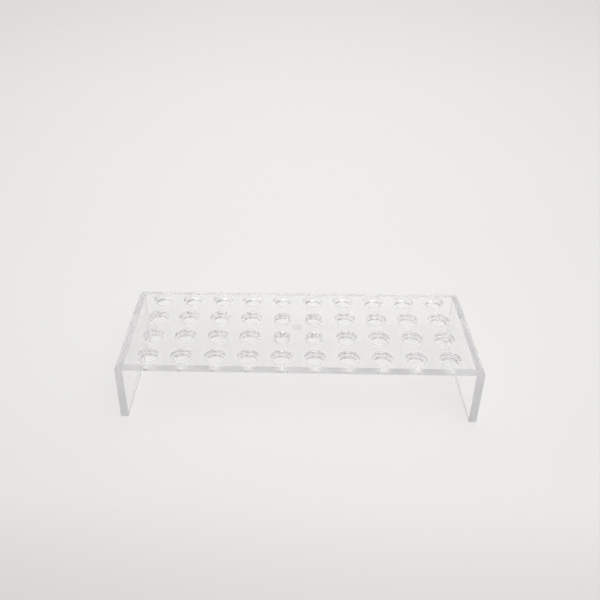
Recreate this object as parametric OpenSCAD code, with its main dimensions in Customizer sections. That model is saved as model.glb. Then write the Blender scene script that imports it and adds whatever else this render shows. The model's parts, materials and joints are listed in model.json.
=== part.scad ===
// Microcentrifuge tube rack: a flat plate of stepped holes that turns down into a leg at each end.
// One bent sheet of clear plastic. Origin on the table under the middle of the plate, length along X, +Z up.

/* [Body] */
// Length of the rack, from end face to end face
rack_length = 240; // [200:1:300]
// Width of the rack, front to back
rack_width = 86.5; // [72:0.5:120]
// Height of the top face above the table
rack_height = 45; // [30:1:70]
// Thickness of the plate and of both legs
wall_t = 5.3; // [4.5:0.1:8]
// Outside radius where the plate turns down into a leg
bend_outer_r = 5.5; // [1:0.5:8]
// Inside radius of the same bend
bend_inner_r = 0.6; // [0.2:0.1:3]
// Small radius on the outer edges of the sheet
edge_r = 0.4; // [0.1:0.1:1]

/* [Tube holes] */
// Holes along the length
columns = 10; // [4:1:10]
// Holes across the width
rows = 4; // [2:1:4]
// Distance from an end face to the centres of the nearest holes
end_margin = 21; // [16:0.5:26]
// Distance from the front or back face to the centres of the nearest holes
side_margin = 10.25; // [8.5:0.25:14]
// Diameter of the hole that the tube's body passes through
tube_hole_d = 11; // [8:0.1:13]
// Diameter of the step that the tube's collar sits in
seat_d = 14.2; // [12.5:0.1:17.1]
// Depth of that step below the top face
seat_depth = 2.8; // [1:0.1:3.4]
// Diameter of the plain holes around the middle of the plate, which have no step
plain_hole_d = 11; // [8:0.1:16]
// Chamfer on both rims of a hole, below its step where it has one
hole_chamfer = 0.5; // [0.1:0.1:0.5]
// Chamfer on the top rim of a step
seat_chamfer = 0.2; // [0.1:0.1:0.5]

/* [Round mark] */
// Diameter of the round mark in the middle of the top face
mark_d = 7; // [4:0.5:8]
// Depth of the mark
mark_depth = 0.3; // [0.1:0.1:1]

/* [Hidden] */
$fn = 96;
// How far a cut runs past the face that it opens
overcut = 1;
// The same for a chamfer that opens into a step, which stays inside the step
step_overcut = 0.1;
plate_underside = rack_height - wall_t;
pitch_x = (rack_length - 2 * end_margin) / (columns - 1);
pitch_y = (rack_width - 2 * side_margin) / (rows - 1);

// True for the holes next to the middle of the grid in both directions
function is_plain(column, row) =
    abs(column - (columns - 1) / 2) < 1 && abs(row - (rows - 1) / 2) < 1;

module rounded_rectangle(width, depth, corner_r) {
    square([width - 2 * corner_r, depth], center = true);
    square([width, depth - 2 * corner_r], center = true);
    for (x = [-1, 1] * (width / 2 - corner_r)) {
        for (y = [-1, 1] * (depth / 2 - corner_r)) {
            translate([x, y]) circle(r = corner_r);
        }
    }
}

// An arch that stands on the X axis, round at the top corners and flat at the bottom
module arch(width, height, corner_r) {
    translate([-width / 2, 0]) square([width, height - corner_r]);
    translate([-width / 2 + corner_r, 0]) square([width - 2 * corner_r, height]);
    for (x = [-1, 1] * (width / 2 - corner_r)) {
        translate([x, height - corner_r]) circle(r = corner_r);
    }
}

// The side view: the plate with its legs, and the room below it
module bridge_section() {
    difference() {
        arch(rack_length, rack_height, bend_outer_r);
        translate([0, -overcut]) arch(rack_length - 2 * wall_t, plate_underside + overcut, bend_inner_r);
    }
}

// The bent sheet, with its four outer corners and its long top edges slightly rounded
module bridge() {
    intersection() {
        rotate([90, 0, 0]) linear_extrude(height = rack_width, center = true) bridge_section();
        linear_extrude(height = rack_height) rounded_rectangle(rack_length, rack_width, edge_r);
        rotate([90, 0, 90]) {
            linear_extrude(height = rack_length, center = true) arch(rack_width, rack_height, edge_r);
        }
    }
}

// A cone that chamfers the rim of a hole at height z = 0, opens upwards and runs past the rim
module rim_cone(hole_d, chamfer, past) {
    rise = chamfer + past;
    translate([0, 0, -chamfer]) cylinder(d1 = hole_d, d2 = hole_d + 2 * rise, h = rise);
}

// A hole through the plate with its bottom rim chamfered
module through_hole(hole_d) {
    translate([0, 0, plate_underside - overcut]) cylinder(d = hole_d, h = wall_t + 2 * overcut);
    translate([0, 0, plate_underside]) mirror([0, 0, 1]) rim_cone(hole_d, hole_chamfer, overcut);
}

// The hole of one tube, with the step for its collar
module stepped_hole() {
    ledge_height = rack_height - seat_depth;
    through_hole(tube_hole_d);
    translate([0, 0, ledge_height]) rim_cone(tube_hole_d, hole_chamfer, step_overcut);
    translate([0, 0, ledge_height]) cylinder(d = seat_d, h = seat_depth + overcut);
    translate([0, 0, rack_height]) rim_cone(seat_d, seat_chamfer, overcut);
}

module plain_hole() {
    through_hole(plain_hole_d);
    translate([0, 0, rack_height]) rim_cone(plain_hole_d, hole_chamfer, overcut);
}

module hole_grid() {
    for (column = [0 : columns - 1]) {
        for (row = [0 : rows - 1]) {
            x = (column - (columns - 1) / 2) * pitch_x;
            y = (row - (rows - 1) / 2) * pitch_y;
            translate([x, y, 0]) {
                if (is_plain(column, row)) plain_hole();
                else stepped_hole();
            }
        }
    }
}

module round_mark() {
    translate([0, 0, rack_height - mark_depth]) cylinder(d = mark_d, h = mark_depth + overcut);
}

module rack() {
    color([0.90, 0.93, 0.92, 0.45]) {
        difference() {
            bridge();
            hole_grid();
            round_mark();
        }
    }
}

rack();
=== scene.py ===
import json
import math

import bpy
import numpy as np
from mathutils import Matrix, Vector


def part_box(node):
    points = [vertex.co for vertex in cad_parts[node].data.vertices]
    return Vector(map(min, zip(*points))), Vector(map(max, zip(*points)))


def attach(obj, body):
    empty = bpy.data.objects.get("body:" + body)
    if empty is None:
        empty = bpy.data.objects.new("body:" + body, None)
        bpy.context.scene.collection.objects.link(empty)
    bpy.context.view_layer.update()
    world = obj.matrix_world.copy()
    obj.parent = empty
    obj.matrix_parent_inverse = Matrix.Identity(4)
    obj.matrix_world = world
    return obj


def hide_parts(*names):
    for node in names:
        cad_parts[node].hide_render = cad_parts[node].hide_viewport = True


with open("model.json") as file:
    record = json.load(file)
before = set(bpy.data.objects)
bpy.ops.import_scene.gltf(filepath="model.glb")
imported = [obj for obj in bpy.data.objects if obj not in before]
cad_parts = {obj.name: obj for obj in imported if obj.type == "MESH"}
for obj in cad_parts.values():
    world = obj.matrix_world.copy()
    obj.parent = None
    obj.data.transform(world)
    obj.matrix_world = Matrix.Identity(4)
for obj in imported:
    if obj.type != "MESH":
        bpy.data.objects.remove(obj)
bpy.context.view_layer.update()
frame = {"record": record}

MM = 0.001

# ---------------------------------------------------------------------------
# Sizes, in metres: the frame gives the outside and the bores, and the rest is named here
# ---------------------------------------------------------------------------
RACK_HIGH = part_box("rack")[1]
HALF_LENGTH = RACK_HIGH.x
HALF_WIDTH = RACK_HIGH.y
TOP = RACK_HIGH.z

BORES = [mount for mount in frame["record"]["mounts"] if mount["kind"] == "bore"]
BORE_CENTRES = np.array([bore["pos_m"] for bore in BORES])
BORE_RADII = np.array([bore["dims"]["r_mm"] for bore in BORES]) * MM
BORE_LENGTHS = np.array([bore["dims"]["length_mm"] for bore in BORES]) * MM
HOLE_CHAMFER = 0.5 * MM
BORE_LOW = BORE_CENTRES[:, 2] - BORE_LENGTHS / 2 - HOLE_CHAMFER
BORE_HIGH = BORE_CENTRES[:, 2] + BORE_LENGTHS / 2 + HOLE_CHAMFER
UNDERSIDE = float(BORE_LOW.min())
WALL = TOP - UNDERSIDE
# A bore whose rim lies further below the top than this opens into a step
LEAST_STEP = 1 * MM
STEPPED = BORE_HIGH < TOP - LEAST_STEP
LEDGE = float(BORE_HIGH[STEPPED].min())
MICRON_DIGITS = 6
COLUMN_X = np.unique(BORE_CENTRES[:, 0].round(MICRON_DIGITS))
ROW_Y = np.unique(BORE_CENTRES[:, 1].round(MICRON_DIGITS))
PITCH_X = float(COLUMN_X[1] - COLUMN_X[0])
LAST_COLUMN = float(COLUMN_X[-1])

STEP_RADIUS = 7.1 * MM
BEND_OUTER = 5.5 * MM
BEND_INNER = 0.6 * MM
EDGE_ROUND = 0.4 * MM
FOOT_ROUND = 0.3 * MM
STEP_CHAMFER = 0.2 * MM
CORNER_ROUND = 0.2 * MM
TINY_ROUND = 0.05 * MM
MARK_RADIUS = 3.5 * MM
MARK_DEPTH = 0.3 * MM
MARK_ROUND = 0.1 * MM
# Radius of the small flat face in the middle of the mark
MARK_HUB = 0.1 * MM

# ---------------------------------------------------------------------------
# Mesh resolution
# ---------------------------------------------------------------------------
# Steps along each side of the rectangle of plate around a hole, and around the hole itself
SIDE_STEPS = 24
AROUND = 4 * SIDE_STEPS
# Steps along the end of the plate, round the bend and down the leg
END_STEPS = 3
BEND_STEPS = 16
LEG_STEPS = 8
# Steps round a small corner in a hole, round one edge of the sheet, and across the flat between two edges
ARC_STEPS = 3
EDGE_STEPS = 4
FACE_STEPS = 4
EDGE_QUADS = 2 * EDGE_STEPS + FACE_STEPS
# The plate runs in to a circle around the mark, this many steps from the middle
MARK_SHARE = SIDE_STEPS // 4
MARK_CELL_RADIUS = MARK_SHARE * PITCH_X / SIDE_STEPS
# Points closer than this are one point
WELD = 1e-7

# Kinds of surface, kept on each face as the number that the plastic's material reads
KINDS = 6
POLISHED, CUT_EDGE, STEP_WALL, BORE_WALL, PLAIN_WALL, MARK = range(KINDS)


def arc(centre, radius, start, end, steps):
    """Points on a circle in the plane of a profile, from angle start to end in degrees: the centre plus the
    radius times the cosine and the sine."""
    angle = np.radians(np.linspace(start, end, steps + 1))
    return np.stack([centre[0] + radius * np.cos(angle), centre[1] + radius * np.sin(angle)], axis=1)


def chamfer(radius, rim, size, opens):
    """A chamfer between a hole's wall and a level face at height rim, as four (radius, height) points from
    the wall to the face, with a very small facet at each end. opens is 1 where it opens upwards, or -1."""
    return np.array([[radius, rim - opens * (size + TINY_ROUND)],
                     [radius + TINY_ROUND, rim - opens * (size - TINY_ROUND)],
                     [radius + size - TINY_ROUND, rim - opens * TINY_ROUND],
                     [radius + size + TINY_ROUND, rim]])


def stepped_profile(bore_radius):
    """Outline of a stepped hole from its top rim to its bottom rim, as (radius, height) points, and the
    kind of each stretch of it, with the plate's own face before the first point and after the last one."""
    rim = chamfer(STEP_RADIUS, TOP, STEP_CHAMFER, 1)[::-1]
    corner = arc((STEP_RADIUS - CORNER_ROUND, LEDGE + CORNER_ROUND), CORNER_ROUND, 0, -90, ARC_STEPS)
    lip = chamfer(bore_radius, LEDGE, HOLE_CHAMFER, 1)[::-1]
    foot = chamfer(bore_radius, UNDERSIDE, HOLE_CHAMFER, -1)
    step_stretches = len(rim) + len(corner) - 1
    bore_stretches = len(lip) + len(foot)
    kinds = np.repeat([POLISHED, STEP_WALL, BORE_WALL, POLISHED], [1, step_stretches, bore_stretches, 1])
    return np.concatenate([rim, corner, lip, foot]), kinds


def plain_profile(bore_radius):
    """The same for a hole without a step."""
    rim = chamfer(bore_radius, TOP, HOLE_CHAMFER, 1)[::-1]
    foot = chamfer(bore_radius, UNDERSIDE, HOLE_CHAMFER, -1)
    kinds = np.repeat([POLISHED, PLAIN_WALL, POLISHED], [1, len(rim) + len(foot) - 1, 1])
    return np.concatenate([rim, foot]), kinds


def turned(profile, centre, direction):
    """Rings of points, one for each (radius, height) point of a profile: the centre plus the radius times
    the unit vector at each direction, at that height."""
    unit = np.stack([np.cos(direction), np.sin(direction)], axis=1)
    rings = np.asarray(centre) + profile[:, :1, None] * unit
    heights = np.broadcast_to(profile[:, 1:, None], (*rings.shape[:2], 1))
    return np.concatenate([rings, heights], axis=-1)


def even_steps(edges):
    """Each stretch between neighbouring edges split into SIDE_STEPS even steps."""
    share = np.linspace(0, 1, SIDE_STEPS, endpoint=False)
    stretches = edges[:-1, None] + np.diff(edges)[:, None] * share
    return np.append(stretches, edges[-1])


def grid_quads(rows, columns, first, closed):
    """Quads between neighbouring points of a rows by columns grid whose points start at index first."""
    row = np.arange(rows - 1)[:, None]
    column = np.arange(columns if closed else columns - 1)[None, :]
    following = (column + 1) % columns
    corners = [row * columns + column, (row + 1) * columns + column,
               (row + 1) * columns + following, row * columns + following]
    return np.stack(np.broadcast_arrays(*corners), axis=-1).reshape(-1, 4) + first


class Shell:
    """Collects the points and quads of one closed surface, and the kind of each quad."""

    def __init__(self):
        self.points, self.quads, self.kinds, self.caps = [], [], [], []
        self.count = 0

    def add_grid(self, grid, kinds, closed=False, flip=False):
        """Adds a grid of points (rows, columns, 3). kinds is one number, or spreads over the quads."""
        rows, columns = grid.shape[:2]
        quads = grid_quads(rows, columns, self.count, closed)
        across = columns if closed else columns - 1
        self.points.append(grid.reshape(-1, 3))
        self.quads.append(quads[:, ::-1] if flip else quads)
        self.kinds.append(np.broadcast_to(kinds, (rows - 1, across)).reshape(-1))
        self.count += rows * columns

    def add_cap(self, ring, kind):
        """Adds one flat many-sided face over a ring of points."""
        self.points.append(ring)
        self.caps.append((np.arange(len(ring)) + self.count, kind))
        self.count += len(ring)


def cell_outline(low, high, centre):
    """Points around a rectangle, evenly along each side, and the direction of each from the hole's centre.

    The directions run evenly between those of the corners, so a ring of them is round.
    """
    corners = np.array([[high[0], low[1]], [high[0], high[1]], [low[0], high[1]], [low[0], low[1]]])
    share = np.linspace(0, 1, SIDE_STEPS, endpoint=False)
    angle = np.arctan2(corners[:, 1] - centre[1], corners[:, 0] - centre[0])
    turn = (np.roll(angle, -1) - angle) % math.tau
    sides = np.roll(corners, -1, axis=0) - corners
    points = corners[:, None] + sides[:, None] * share[:, None]
    directions = angle[:, None] + turn[:, None] * share
    return points.reshape(-1, 2), directions.reshape(-1)


def round_off_centre(outline):
    """Moves the points of an outline that lie near the plate's middle onto a circle around it.

    A point's share of the way between the two sides of its quadrant gives its angle on the circle.
    """
    near = np.abs(outline).max(axis=1) < MARK_CELL_RADIUS - WELD
    share = (np.abs(outline[:, 0]) - np.abs(outline[:, 1])) / MARK_CELL_RADIUS
    angle = math.pi / 4 * (1 - share)
    quadrant = np.sign(outline.mean(axis=0))
    circle = np.stack([np.cos(angle), np.sin(angle)], axis=1) * MARK_CELL_RADIUS * quadrant
    return np.where(near[:, None], circle, outline)


def add_hole_cell(shell, centre, low, high, profile, kinds, around_mark):
    """One hole with the rectangle of plate around it: the outline carried inwards to the rim, down the
    hole's profile, and outwards again along the underside."""
    outline, direction = cell_outline(low, high, centre)
    top_outline = round_off_centre(outline) if around_mark else outline
    above = np.column_stack([top_outline, np.full(AROUND, TOP)])
    below = np.column_stack([outline, np.full(AROUND, UNDERSIDE)])
    grid = np.concatenate([above[None], turned(profile, centre, direction), below[None]])
    shell.add_grid(grid, kinds[:, None], closed=True, flip=True)


def add_mark(shell):
    """The round mark: a shallow flat recess, as a profile turned around the plate's middle."""
    low = TOP - MARK_DEPTH
    rim = arc((MARK_RADIUS + MARK_ROUND, TOP - MARK_ROUND), MARK_ROUND, 90, 180, ARC_STEPS)
    corner = arc((MARK_RADIUS - MARK_ROUND, low + MARK_ROUND), MARK_ROUND, 0, -90, ARC_STEPS)
    bottom = [[MARK_RADIUS / 2, low], [MARK_HUB, low]]
    profile = np.concatenate([[[MARK_CELL_RADIUS, TOP]], rim, corner, bottom])
    # Each of the four holes around the mark gives it two stretches of MARK_SHARE steps
    turns = 8 * MARK_SHARE
    grid = turned(profile, (0, 0), np.arange(turns) * math.tau / turns)
    kinds = np.full(len(profile) - 1, MARK)
    kinds[0] = POLISHED
    shell.add_grid(grid, kinds[:, None], closed=True, flip=True)
    shell.add_cap(grid[-1], MARK)


def edge_section(inset, round_radius, y_steps):
    """Outline of the wall's cross-section as (y, depth) points: across the outer face at depth 0, around
    the back edge, across the inner face at depth WALL, and around the front edge, all drawn in by inset."""
    y_end = HALF_WIDTH - inset - round_radius
    flat = y_steps * (y_end / (HALF_WIDTH - EDGE_ROUND))
    shallow, deep = inset + round_radius, WALL - inset - round_radius
    near = arc((y_end, shallow), round_radius, -90, 0, EDGE_STEPS)
    far = arc((y_end, deep), round_radius, 0, 90, EDGE_STEPS)
    face_depth = shallow + (deep - shallow) * np.linspace(0, 1, FACE_STEPS + 1)[1:-1]
    face = np.column_stack([np.full(len(face_depth), y_end + round_radius), face_depth])
    back = np.concatenate([near, face, far])
    outer = np.column_stack([flat, np.full(len(flat), inset)])
    inner = np.column_stack([flat[::-1], np.full(len(flat), WALL - inset)])
    front = back[::-1] * [-1, 1]
    return np.concatenate([outer[1:-1], back, inner[1:-1], front])


def end_line(bend_x, level_z, bend_radius):
    """One face of the sheet from its last holes to its foot, as (x, z) points: level to the bend at bend_x,
    a quarter circle, and straight down the leg to where the foot's round begins."""
    bend_z = level_z - bend_radius
    level_x = np.linspace(LAST_COLUMN + PITCH_X / 2, bend_x, END_STEPS + 1)[:-1]
    level = np.column_stack([level_x, np.full(END_STEPS, level_z)])
    bend = arc((bend_x, bend_z), bend_radius, 90, 0, BEND_STEPS)
    leg_z = np.linspace(bend_z, FOOT_ROUND, LEG_STEPS + 1)[1:]
    leg = np.column_stack([np.full(LEG_STEPS, bend_x + bend_radius), leg_z])
    return np.concatenate([level, bend, leg])


def foot_ring(side, angle, y_steps):
    """Outline of a leg at one angle of the round at its foot: the section drawn inwards by the radius
    times one minus the cosine, at a height of the radius times one minus the sine."""
    inset = FOOT_ROUND * (1 - math.cos(angle))
    height = FOOT_ROUND * (1 - math.sin(angle))
    section = edge_section(inset, EDGE_ROUND - inset, y_steps)
    x = side * (HALF_LENGTH - section[:, 1])
    return np.column_stack([x, section[:, 0], np.full(len(section), height)])


def add_end(shell, side, y_steps):
    """The end of the plate, the bend and the leg on one side, 1 for +X or -1: the cross-section spread
    between the outer and the inner face at each station, then drawn inwards round the foot and closed."""
    outer = end_line(HALF_LENGTH - BEND_OUTER, TOP, BEND_OUTER)
    inner = end_line(HALF_LENGTH - WALL - BEND_INNER, UNDERSIDE, BEND_INNER)
    section = edge_section(0, EDGE_ROUND, y_steps)
    share = section[:, 1:] / WALL
    place = outer[:, None] + (inner - outer)[:, None] * share
    y = np.broadcast_to(section[:, 0], place.shape[:2])
    body = np.stack([side * place[..., 0], y, place[..., 1]], axis=-1)
    turn = np.radians(np.linspace(0, 90, EDGE_STEPS + 1))[1:]
    foot = np.stack([foot_ring(side, angle, y_steps) for angle in turn])
    grid = np.concatenate([body, foot])
    flats = len(y_steps) - 1
    # The outline starts one step in from the front edge, so one quad of the outer face comes last
    around = np.repeat([POLISHED, CUT_EDGE, POLISHED, CUT_EDGE, POLISHED],
                       [flats - 1, EDGE_QUADS, flats, EDGE_QUADS, 1])
    kinds = np.tile(around, (len(grid) - 1, 1))
    kinds[len(body) - 1:] = CUT_EDGE
    shell.add_grid(grid, kinds, closed=True, flip=side < 0)
    shell.add_cap(grid[-1] if side < 0 else grid[-1][::-1], CUT_EDGE)


def add_long_edges(shell, x_steps, y_steps):
    """The front and back edges of the plate between its ends: the edge's part of the cross-section carried
    along X."""
    section = edge_section(0, EDGE_ROUND, y_steps)
    first = len(y_steps) - 2
    edge = section[first:first + EDGE_QUADS + 1]
    for side in (1, -1):
        y = np.broadcast_to(side * edge[:, 0], (len(x_steps), len(edge)))
        z = np.broadcast_to(TOP - edge[:, 1], y.shape)
        x = np.broadcast_to(x_steps[:, None], y.shape)
        shell.add_grid(np.stack([x, y, z], axis=-1), CUT_EDGE, flip=side < 0)


def build_rack():
    """The whole bent sheet as one closed mesh."""
    shell = Shell()
    flat_end = HALF_WIDTH - EDGE_ROUND
    y_edges = np.concatenate([[-flat_end], (ROW_Y[1:] + ROW_Y[:-1]) / 2, [flat_end]])
    x_edges = np.append(COLUMN_X - PITCH_X / 2, LAST_COLUMN + PITCH_X / 2)
    x_steps, y_steps = even_steps(x_edges), even_steps(y_edges)
    for bore_centre, radius, stepped in zip(BORE_CENTRES, BORE_RADII, STEPPED):
        centre = bore_centre[:2]
        column = int(np.argmin(np.abs(COLUMN_X - centre[0])))
        row = int(np.argmin(np.abs(ROW_Y - centre[1])))
        low, high = (x_edges[column], y_edges[row]), (x_edges[column + 1], y_edges[row + 1])
        profile, kinds = stepped_profile(radius) if stepped else plain_profile(radius)
        around_mark = np.abs(centre).max() < PITCH_X
        add_hole_cell(shell, centre, low, high, profile, kinds, around_mark)
    add_mark(shell)
    for side in (-1, 1):
        add_end(shell, side, y_steps)
    add_long_edges(shell, x_steps, y_steps)
    return shell


def shell_to_object(name, shell):
    """Joins equal points and makes the object. A point's normal is the sum of the cross products of the
    diagonals of its quads, made a unit long, so that a larger quad counts for more."""
    points = np.concatenate(shell.points)
    quads = np.concatenate(shell.quads)
    whole = np.round(points / WELD).astype(np.int64)
    _, first, joined = np.unique(whole, axis=0, return_index=True, return_inverse=True)
    joined = joined.reshape(-1)
    points, quads = points[first], joined[quads]
    faces = quads.tolist() + [joined[ring].tolist() for ring, _ in shell.caps]
    kinds = np.concatenate([*shell.kinds, [kind for _, kind in shell.caps]])
    a, b, c, d = (points[quads[:, corner]] for corner in range(4))
    quad_normal = np.cross(c - a, d - b)
    normal = np.zeros_like(points)
    for corner in range(4):
        np.add.at(normal, quads[:, corner], quad_normal)
    normal /= np.linalg.norm(normal, axis=1, keepdims=True)
    mesh = bpy.data.meshes.new(name)
    mesh.from_pydata(points.tolist(), [], faces)
    mesh.validate()
    finish = mesh.attributes.new("finish", "FLOAT", "FACE")
    finish.data.foreach_set("value", (kinds / (KINDS - 1)).astype(np.float32))
    mesh.polygons.foreach_set("use_smooth", np.ones(len(mesh.polygons), bool))
    mesh.normals_split_custom_set_from_vertices(normal.tolist())
    obj = bpy.data.objects.new(name, mesh)
    bpy.context.scene.collection.objects.link(obj)
    return obj


# ---------------------------------------------------------------------------
# Building node trees
# ---------------------------------------------------------------------------
# Half the step between the numbers of two kinds of surface
SAME_KIND = 0.5 / (KINDS - 1)


class Nodes:
    """Adds nodes to one tree. A value is a socket, which is linked, or a number, which is set there."""

    def __init__(self, tree):
        self.nodes, self.links = tree.nodes, tree.links

    def feed(self, socket, value):
        """Links or sets one input."""
        if isinstance(value, bpy.types.NodeSocket):
            self.links.new(value, socket)
        else:
            socket.default_value = value

    def calc(self, operation, *values):
        """One Math node."""
        node = self.nodes.new("ShaderNodeMath")
        node.operation = operation
        for socket, value in zip(node.inputs, values):
            self.feed(socket, value)
        return node.outputs[0]

    def scale(self, vector, factor):
        """A vector or colour times a number."""
        node = self.nodes.new("ShaderNodeVectorMath")
        node.operation = "SCALE"
        self.feed(node.inputs[0], vector)
        self.feed(node.inputs["Scale"], factor)
        return node.outputs[0]

    def ease(self, value, start, end, low, high):
        """Eases from low to high as the value goes from start to end."""
        node = self.nodes.new("ShaderNodeMapRange")
        node.interpolation_type = "SMOOTHSTEP"
        names = ("Value", "From Min", "From Max", "To Min", "To Max")
        for name, number in zip(names, (value, start, end, low, high)):
            self.feed(node.inputs[name], number)
        return node.outputs[0]

    def bell(self, value, height):
        """The height times e to the power of minus the value squared."""
        fall = self.calc("EXPONENT", self.calc("MULTIPLY", self.calc("MULTIPLY", value, value), -1.0))
        return self.calc("MULTIPLY", fall, height)

    def parts(self, vector):
        """The X, Y and Z parts of a vector."""
        node = self.nodes.new("ShaderNodeSeparateXYZ")
        self.feed(node.inputs[0], vector)
        return node.outputs

    def coordinate(self, name):
        """One output of Texture Coordinate."""
        return self.nodes.new("ShaderNodeTexCoord").outputs[name]

    def noise(self, point, size, detail, stretch=(1, 1, 1)):
        """Noise between 0 and 1 whose features are about as wide as size, drawn out along each axis."""
        scaled = self.nodes.new("ShaderNodeVectorMath")
        scaled.operation = "MULTIPLY"
        self.feed(scaled.inputs[0], point)
        self.feed(scaled.inputs[1], tuple(1 / (size * factor) for factor in stretch))
        return self.plain_noise(scaled.outputs[0], detail)

    def plain_noise(self, point, detail):
        """Noise between 0 and 1 whose features are about one unit wide."""
        node = self.nodes.new("ShaderNodeTexNoise")
        self.feed(node.inputs["Vector"], point)
        self.feed(node.inputs["Scale"], 1.0)
        self.feed(node.inputs["Detail"], detail)
        return node.outputs["Fac"]

    def grain(self, point, size, depth):
        """The height of fine grain, from the node group that every grained material uses."""
        node = self.nodes.new("ShaderNodeGroup")
        node.node_tree = FINE_GRAIN
        self.feed(node.inputs["Point"], point)
        self.feed(node.inputs["Grains per metre"], 1 / size)
        self.feed(node.inputs["Depth"], depth)
        return node.outputs["Height"]

    def bump(self, height):
        """The normal of a surface whose relief is given in metres."""
        node = self.nodes.new("ShaderNodeBump")
        self.feed(node.inputs["Distance"], 1.0)
        self.feed(node.inputs["Height"], height)
        return node.outputs["Normal"]

    def ramp(self, value, stops, interpolation):
        """A colour ramp over (position, colour) stops."""
        node = self.nodes.new("ShaderNodeValToRGB")
        node.color_ramp.interpolation = interpolation
        elements = node.color_ramp.elements
        while len(elements) < len(stops):
            elements.new(0.5)
        for element, (position, colour) in zip(elements, stops):
            element.position = position
            element.color = (*colour, 1)
        self.feed(node.inputs["Fac"], value)
        return node.outputs["Color"]

    def by_kind(self, kind, values):
        """One value for each kind of surface."""
        stops = [(max(0, index - 0.5) / (KINDS - 1), (value,) * 3) for index, value in enumerate(values)]
        return self.ramp(kind, stops, "CONSTANT")

    def is_kind(self, kind, wanted):
        """1 on the wanted kind of surface, and 0 elsewhere."""
        return self.calc("COMPARE", kind, wanted / (KINDS - 1), SAME_KIND)


GRAIN_DETAIL = 2.0


def fine_grain(name):
    """Fine grain as a node group: noise between 0 and 1, times its depth."""
    group = bpy.data.node_groups.new(name, "ShaderNodeTree")
    group.interface.new_socket("Point", in_out="INPUT", socket_type="NodeSocketVector")
    group.interface.new_socket("Grains per metre", in_out="INPUT", socket_type="NodeSocketFloat")
    group.interface.new_socket("Depth", in_out="INPUT", socket_type="NodeSocketFloat")
    group.interface.new_socket("Height", in_out="OUTPUT", socket_type="NodeSocketFloat")
    tree = Nodes(group)
    given = tree.nodes.new("NodeGroupInput").outputs
    result = tree.nodes.new("NodeGroupOutput").inputs
    grains = tree.plain_noise(tree.scale(given["Point"], given["Grains per metre"]), GRAIN_DETAIL)
    tree.feed(result["Height"], tree.calc("MULTIPLY", grains, given["Depth"]))
    return group


FINE_GRAIN = fine_grain("fine_grain")

# ---------------------------------------------------------------------------
# The clear plastic
# ---------------------------------------------------------------------------
PLASTIC_IOR = 1.49
# How strongly red, green and blue light are absorbed, per metre
ABSORB = (1.45, 1.54, 1.2)
# Roughness of the polished faces, cut edges, step walls, bore walls, plain walls and round mark
ROUGHNESS = (0.0, 0.3, 0.2, 0.2, 0.12, 0.5)
# How much that roughness varies over each of them, as a share
VARIATION = (0.0, 0.2, 0.3, 0.3, 0.3, 0.4)
# Depth of the fine grain on each of them
RELIEF = tuple(value * MM for value in (0.0, 0.002, 0.002, 0.002, 0.004, 0.02))
PATCH_SIZE, PATCH_DETAIL = 1.6 * MM, 3.0
GRAIN_SIZE = 0.5 * MM
WAVE_SIZE, WAVE_DEPTH = 18 * MM, 0.02 * MM
# Saw lines with painted shade along them: their width, how many times longer than wide they are, and how
# much light the darkest lets by
SAW_LINE, SAW_STRETCH, SAW_PAINTED_SHADE = 1.1 * MM, 8, 0.89
# The noise between which the painted shade of a saw line darkens it
SAW_LOW, SAW_HIGH = 0.42, 0.58
# The glossier strip in front of each column of holes: half its width, and how wide its soft sides are
GLOSS_HALF_WIDTH, GLOSS_FADE = 1.1 * MM, 0.4 * MM
GLOSS_ROUGHNESS = 0.06
# The round mark's tint, the noise between which its flecks appear, and how much of it shows between them
MARK_TINT = (0.915, 0.86, 0.83)
FLECK_SIZE, FLECK_DETAIL = 1.2 * MM, 3.0
FLECK_LOW, FLECK_HIGH, FLECK_LEAST = 0.3, 0.6, 0.2


def front_gloss(tree, sawn, x):
    """1 on the strip of a cut edge in front of each column of holes, where the sheet is thinnest, and 0
    elsewhere, from the distance along X to the nearest column."""
    columns = tree.calc("DIVIDE", tree.calc("SUBTRACT", x, float(COLUMN_X[0])), PITCH_X)
    past = tree.calc("SUBTRACT", tree.calc("FRACT", tree.calc("ADD", columns, 0.5)), 0.5)
    distance = tree.calc("MULTIPLY", tree.calc("ABSOLUTE", past), PITCH_X)
    start, end = GLOSS_HALF_WIDTH - GLOSS_FADE / 2, GLOSS_HALF_WIDTH + GLOSS_FADE / 2
    strip = tree.ease(distance, start, end, 1.0, 0.0)
    among_columns = tree.calc("LESS_THAN", tree.calc("ABSOLUTE", x), LAST_COLUMN + PITCH_X / 4)
    return tree.calc("MULTIPLY", sawn, tree.calc("MULTIPLY", strip, among_columns))


def plastic_roughness(tree, kind, point, glossy):
    """One roughness for each kind of surface, uneven in patches, and lower where it is glossy."""
    patches = tree.calc("SUBTRACT", tree.noise(point, PATCH_SIZE, PATCH_DETAIL), 0.5)
    swing = tree.calc("MULTIPLY", tree.by_kind(kind, VARIATION), 2.0)
    uneven = tree.calc("MULTIPLY_ADD", patches, swing, 1.0)
    rough = tree.calc("MULTIPLY", tree.by_kind(kind, ROUGHNESS), uneven)
    kept = tree.calc("MULTIPLY", rough, tree.calc("SUBTRACT", 1.0, glossy))
    return tree.calc("MULTIPLY_ADD", glossy, GLOSS_ROUGHNESS, kept)


def plastic_relief(tree, kind, point):
    """Soft waves over the whole sheet, and fine grain on every surface that was cut."""
    grain = tree.grain(point, GRAIN_SIZE, tree.by_kind(kind, RELIEF))
    waves = tree.calc("MULTIPLY", tree.noise(point, WAVE_SIZE, 1.0), WAVE_DEPTH)
    return tree.calc("ADD", grain, waves)


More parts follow.
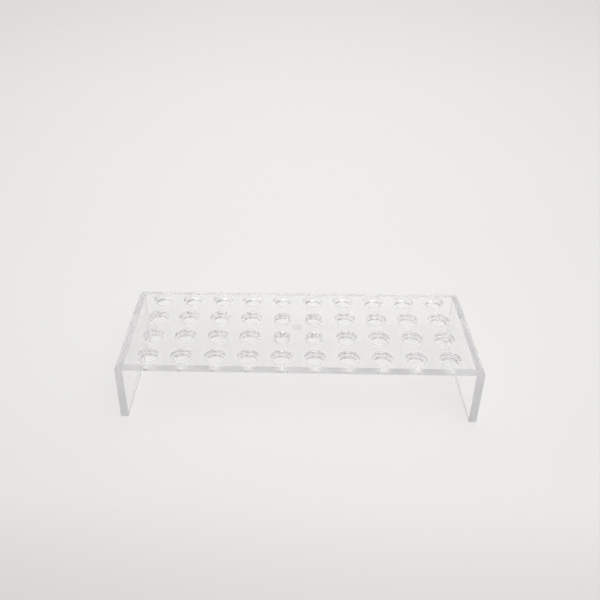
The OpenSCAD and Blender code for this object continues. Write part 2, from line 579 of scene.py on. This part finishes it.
def mark_colour(tree, kind, point):
    """White, with a faint brown tint in flecks in the round mark."""
    flecks = tree.ease(tree.noise(point, FLECK_SIZE, FLECK_DETAIL), FLECK_LOW, FLECK_HIGH, FLECK_LEAST, 1.0)
    tint = tree.nodes.new("ShaderNodeMix")
    tint.data_type = "RGBA"
    tree.feed(tint.inputs["Factor"], tree.calc("MULTIPLY", tree.is_kind(kind, MARK), flecks))
    tree.feed(tint.inputs["A"], (1, 1, 1, 1))
    tree.feed(tint.inputs["B"], (*MARK_TINT, 1))
    return tint.outputs["Result"]


def saw_lines_painted_shade(tree, sawn, point, x):
    """1, and darker along the saw lines of the cut edges, which run level on the plate and upright on the
    legs: painted shade, which stands in for the light that the rough saw lines scatter."""
    level = tree.noise(point, SAW_LINE, 1.0, (SAW_STRETCH, 1, 1))
    upright = tree.noise(point, SAW_LINE, 1.0, (1, 1, SAW_STRETCH))
    on_leg = tree.calc("GREATER_THAN", tree.calc("ABSOLUTE", x), HALF_LENGTH - WALL)
    lines = tree.calc("MULTIPLY_ADD", tree.calc("SUBTRACT", upright, level), on_leg, level)
    return tree.ease(tree.calc("MULTIPLY", lines, sawn), SAW_LOW, SAW_HIGH, 1.0, SAW_PAINTED_SHADE)


def clear_plastic(name):
    """Clear plastic that tints light along its path: polished on its faces, sawn along its edges, turned
    in its holes and frosted in the round mark."""
    material = bpy.data.materials.new(name)
    material.use_nodes = True
    tree = Nodes(material.node_tree)
    attribute = tree.nodes.new("ShaderNodeAttribute")
    attribute.attribute_name = "finish"
    kind = attribute.outputs["Fac"]
    point = tree.coordinate("Object")
    x = tree.parts(point)["X"]
    sawn = tree.is_kind(kind, CUT_EDGE)
    shader = tree.nodes["Principled BSDF"]
    tree.feed(shader.inputs["IOR"], PLASTIC_IOR)
    tree.feed(shader.inputs["Transmission Weight"], 1.0)
    roughness = plastic_roughness(tree, kind, point, front_gloss(tree, sawn, x))
    tree.feed(shader.inputs["Roughness"], roughness)
    tree.feed(shader.inputs["Normal"], tree.bump(plastic_relief(tree, kind, point)))
    # Base colour: white with the mark's tinted flecks, times painted shade along the saw lines of the cut
    # edges
    colour = tree.scale(mark_colour(tree, kind, point), saw_lines_painted_shade(tree, sawn, point, x))
    tree.feed(shader.inputs["Base Color"], colour)
    absorb = tree.nodes.new("ShaderNodeVolumeAbsorption")
    density = max(ABSORB)
    tree.feed(absorb.inputs["Color"], (*(1 - value / density for value in ABSORB), 1))
    tree.feed(absorb.inputs["Density"], density)
    tree.feed(tree.nodes["Material Output"].inputs["Volume"], absorb.outputs["Volume"])
    return material


rack = shell_to_object("rack_sheet", build_rack())
rack.data.materials.append(clear_plastic("clear_plastic"))
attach(rack, "root")
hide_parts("rack")

# ---------------------------------------------------------------------------
# Floor, with painted light and shade: a soft shade that fades away from the rack
# ---------------------------------------------------------------------------
FLOOR_HALF = 4.0
# How far the floor lies below the feet, so that no two faces coincide
FLOOR_DROP = 0.05 * MM
FLOOR_ROUGHNESS = 0.9
TOOTH_SIZE, TOOTH_DEPTH = 0.8 * MM, 0.02 * MM
# Painted light and shade, by place along Y in metres, brightness and tint: palest behind the rack, and
# slightly warmer at both ends
FLOOR_PAINTED_SHADES = ((-0.18, 0.759, (1.010, 1.001, 0.989)), (-0.12, 0.860, (1.008, 0.997, 0.995)),
                (-0.06, 0.883, (1.002, 0.999, 0.999)), (0.06, 0.903, (1.001, 1.000, 0.999)),
                (0.20, 0.904, (1.000, 0.999, 1.001)), (0.45, 0.899, (1.001, 0.998, 1.000)),
                (0.80, 0.871, (1.005, 1.000, 0.995)), (1.40, 0.813, (1.009, 1.001, 0.990)))
FLOOR_NEAR, FLOOR_FAR = FLOOR_PAINTED_SHADES[0][0], FLOOR_PAINTED_SHADES[-1][0]
# The painted shade to both sides: its middle, how fast it starts and the most that it takes, and the width
# that it is measured in, which grows with Y
FLOOR_MIDDLE, FLOOR_FALL, FLOOR_FALL_MOST = 0.019, 0.058, 0.25
FLOOR_WIDTH, FLOOR_WIDENS = 0.25, 0.222
# Painted light that makes the near part a little brighter on the right: by how much, over what width, and
# how far that reaches
FLOOR_TILT, FLOOR_TILT_WIDTH, FLOOR_TILT_REACH = 0.035, 0.2, 0.0985


def floor_painted_side_shade(tree, x, y):
    """Painted shade across the floor: one, less a bell-shaped fall to both sides that levels out."""
    grown = tree.calc("MULTIPLY_ADD", y, FLOOR_WIDENS, FLOOR_WIDTH)
    width = tree.calc("MAXIMUM", grown, FLOOR_WIDTH / 2)
    aside = tree.calc("DIVIDE", tree.calc("SUBTRACT", x, FLOOR_MIDDLE), width)
    steepness = math.sqrt(FLOOR_FALL / FLOOR_FALL_MOST)
    fall = tree.bell(tree.calc("MULTIPLY", aside, steepness), FLOOR_FALL_MOST)
    return tree.calc("ADD", fall, 1.0 - FLOOR_FALL_MOST)


def floor_painted_tilt(tree, x, y):
    """Painted light added on the right of the near part, and painted shade taken from its left."""
    reach = tree.calc("DIVIDE", tree.calc("SUBTRACT", y, FLOOR_NEAR), FLOOR_TILT_REACH)
    slope = tree.calc("TANH", tree.calc("DIVIDE", x, FLOOR_TILT_WIDTH))
    return tree.calc("MULTIPLY", slope, tree.bell(reach, FLOOR_TILT))


def floor_paper(name):
    """Pale paper with painted light and shade: a ramp of shades along Y, which falls off to both sides,
    with a fine tooth.
    """
    material = bpy.data.materials.new(name)
    material.use_nodes = True
    tree = Nodes(material.node_tree)
    shader = tree.nodes["Principled BSDF"]
    tree.feed(shader.inputs["Roughness"], FLOOR_ROUGHNESS)
    point = tree.coordinate("Object")
    parts = tree.parts(point)
    x, y = parts["X"], parts["Y"]
    length = FLOOR_FAR - FLOOR_NEAR
    along = tree.calc("DIVIDE", tree.calc("SUBTRACT", y, FLOOR_NEAR), length)
    stops = [((place - FLOOR_NEAR) / length, tuple(shade * part for part in tint))
             for place, shade, tint in FLOOR_PAINTED_SHADES]
    shade = tree.calc("ADD", floor_painted_side_shade(tree, x, y), floor_painted_tilt(tree, x, y))
    # Painted light and shade: the ramp along Y, times the painted fall to both sides and the painted tilt
    colour = tree.scale(tree.ramp(along, stops, "CARDINAL"), shade)
    tree.feed(shader.inputs["Base Color"], colour)
    tree.feed(shader.inputs["Normal"], tree.bump(tree.grain(point, TOOTH_SIZE, TOOTH_DEPTH)))
    return material


floor_mesh = bpy.data.meshes.new("floor")
floor_corners = [(-FLOOR_HALF, -FLOOR_HALF, 0), (FLOOR_HALF, -FLOOR_HALF, 0),
                 (FLOOR_HALF, FLOOR_HALF, 0), (-FLOOR_HALF, FLOOR_HALF, 0)]
floor_mesh.from_pydata(floor_corners, [], [(0, 1, 2, 3)])
floor = bpy.data.objects.new("floor", floor_mesh)
bpy.context.scene.collection.objects.link(floor)
floor.location.z = -FLOOR_DROP
floor.data.materials.append(floor_paper("floor_paper"))

# ---------------------------------------------------------------------------
# Light: a soft studio with a pale horizon, dim above it and bright overhead, with a faint ring behind the
# rack. Azimuths run from +Y towards +X, and all angles are in degrees.
# ---------------------------------------------------------------------------
SKY_TINT = (1.0, 0.992, 0.968, 1)
# The low sky's mean brightness, how far it swings, and the azimuth where it is brightest
LOW_SKY, LOW_SKY_SWING, LOW_SKY_AZ = 0.53, 0.13, 80.0
# The horizon's extra brightness, and the elevations over which it fades
HORIZON_GLOW, HORIZON_FROM, HORIZON_TO = 0.3, 2.0, 14.0
# The brightness overhead, and the elevation from which the sky rises to it
TOP_SKY, TOP_SKY_FROM = 0.86, 34.0
ZENITH = 90.0
# The soft key light: its brightness and place, and the cosines from it where it starts and would be full
KEY_GLOW, KEY_AZ, KEY_ELEVATION, KEY_EDGE, KEY_FULL = 2.58, 152.0, 75.0, 0.69, 1.24
# The faint ring: its brightness, middle, half width and height, and thickness as a share of them
RING_GLOW, RING_AZ, RING_WIDE, RING_HIGH, RING_THICK = 0.29, 4.0, 35.0, 33.0, 0.14


def sky_dome(tree, azimuth, elevation):
    """A low sky that swings with the azimuth, eased into the brightness overhead, plus the horizon."""
    swing = tree.calc("COSINE", tree.calc("RADIANS", tree.calc("SUBTRACT", azimuth, LOW_SKY_AZ)))
    low_sky = tree.calc("MULTIPLY_ADD", swing, LOW_SKY_SWING, LOW_SKY)
    horizon = tree.ease(elevation, HORIZON_FROM, HORIZON_TO, HORIZON_GLOW, 0.0)
    return tree.calc("ADD", tree.ease(elevation, TOP_SKY_FROM, ZENITH, low_sky, TOP_SKY), horizon)


def key_light(tree, direction):
    """A soft round patch, from the cosine between the direction and its middle."""
    azimuth, elevation = math.radians(KEY_AZ), math.radians(KEY_ELEVATION)
    middle = (math.sin(azimuth) * math.cos(elevation), math.cos(azimuth) * math.cos(elevation),
              math.sin(elevation))
    towards = tree.nodes.new("ShaderNodeVectorMath")
    towards.operation = "DOT_PRODUCT"
    tree.feed(towards.inputs[0], direction)
    tree.feed(towards.inputs[1], middle)
    return tree.ease(towards.outputs["Value"], KEY_EDGE, KEY_FULL, 0.0, KEY_GLOW)


def back_ring(tree, azimuth, elevation):
    """An arch of light, as a bell of the distance from an ellipse around a point on the horizon."""
    across = tree.calc("DIVIDE", tree.calc("SUBTRACT", azimuth, RING_AZ), RING_WIDE)
    above = tree.calc("DIVIDE", elevation, RING_HIGH)
    squares = tree.calc("ADD", tree.calc("MULTIPLY", across, across), tree.calc("MULTIPLY", above, above))
    outside = tree.calc("SUBTRACT", tree.calc("SQRT", squares), 1.0)
    return tree.bell(tree.calc("DIVIDE", outside, RING_THICK), RING_GLOW)


def studio(name):
    """Soft light from all round, worked out from the direction's azimuth and elevation."""
    world = bpy.data.worlds.new(name)
    world.use_nodes = True
    tree = Nodes(world.node_tree)
    direction = tree.coordinate("Generated")
    parts = tree.parts(direction)
    elevation = tree.calc("DEGREES", tree.calc("ARCSINE", parts["Z"]))
    azimuth = tree.calc("DEGREES", tree.calc("ARCTAN2", parts["X"], parts["Y"]))
    dome_and_key = tree.calc("ADD", sky_dome(tree, azimuth, elevation), key_light(tree, direction))
    strength = tree.calc("ADD", dome_and_key, back_ring(tree, azimuth, elevation))
    background = tree.nodes["Background"]
    tree.feed(background.inputs["Strength"], strength)
    tree.feed(background.inputs["Color"], SKY_TINT)
    return world


bpy.context.scene.world = studio("studio")

# ---------------------------------------------------------------------------
# Camera and render settings
# ---------------------------------------------------------------------------
CAMERA_PLACE = (-0.00578, -0.39224, 0.33225)
CAMERA_YAW, CAMERA_PITCH, CAMERA_ROLL = (math.radians(angle) for angle in (-2.057, -31.478, -0.460))
# Sensor width and lens in millimetres, and the shifts as shares of the picture's width
CAMERA_SENSOR, CAMERA_LENS = 36, 41.772
CAMERA_SHIFT_X, CAMERA_SHIFT_Y = 0.0516, -0.0510
# Long paths, so that light can pass through many walls of clear plastic
MOST_BOUNCES, MOST_GLOSSY, MOST_DIFFUSE = 64, 32, 6


def add_camera(name):
    """A camera turned by its yaw from +Y, its pitch and then its roll."""
    data = bpy.data.cameras.new(name)
    data.sensor_width = CAMERA_SENSOR
    data.lens = CAMERA_LENS
    data.shift_x = CAMERA_SHIFT_X
    data.shift_y = CAMERA_SHIFT_Y
    forward = Vector((math.sin(CAMERA_YAW) * math.cos(CAMERA_PITCH),
                      math.cos(CAMERA_YAW) * math.cos(CAMERA_PITCH), math.sin(CAMERA_PITCH)))
    level = Vector((math.cos(CAMERA_YAW), -math.sin(CAMERA_YAW), 0))
    upright = level.cross(forward)
    right = math.cos(CAMERA_ROLL) * level + math.sin(CAMERA_ROLL) * upright
    up = -math.sin(CAMERA_ROLL) * level + math.cos(CAMERA_ROLL) * upright
    turn = Matrix((right, up, -forward)).transposed().to_4x4()
    camera = bpy.data.objects.new(name, data)
    camera.matrix_world = Matrix.Translation(CAMERA_PLACE) @ turn
    bpy.context.scene.collection.objects.link(camera)
    return camera


scene = bpy.context.scene
scene.camera = add_camera("camera")
scene.view_settings.view_transform = "Standard"
scene.cycles.max_bounces = MOST_BOUNCES
scene.cycles.transmission_bounces = MOST_BOUNCES
scene.cycles.glossy_bounces = MOST_GLOSSY
scene.cycles.diffuse_bounces = MOST_DIFFUSE
scene.cycles.blur_glossy = 0.0
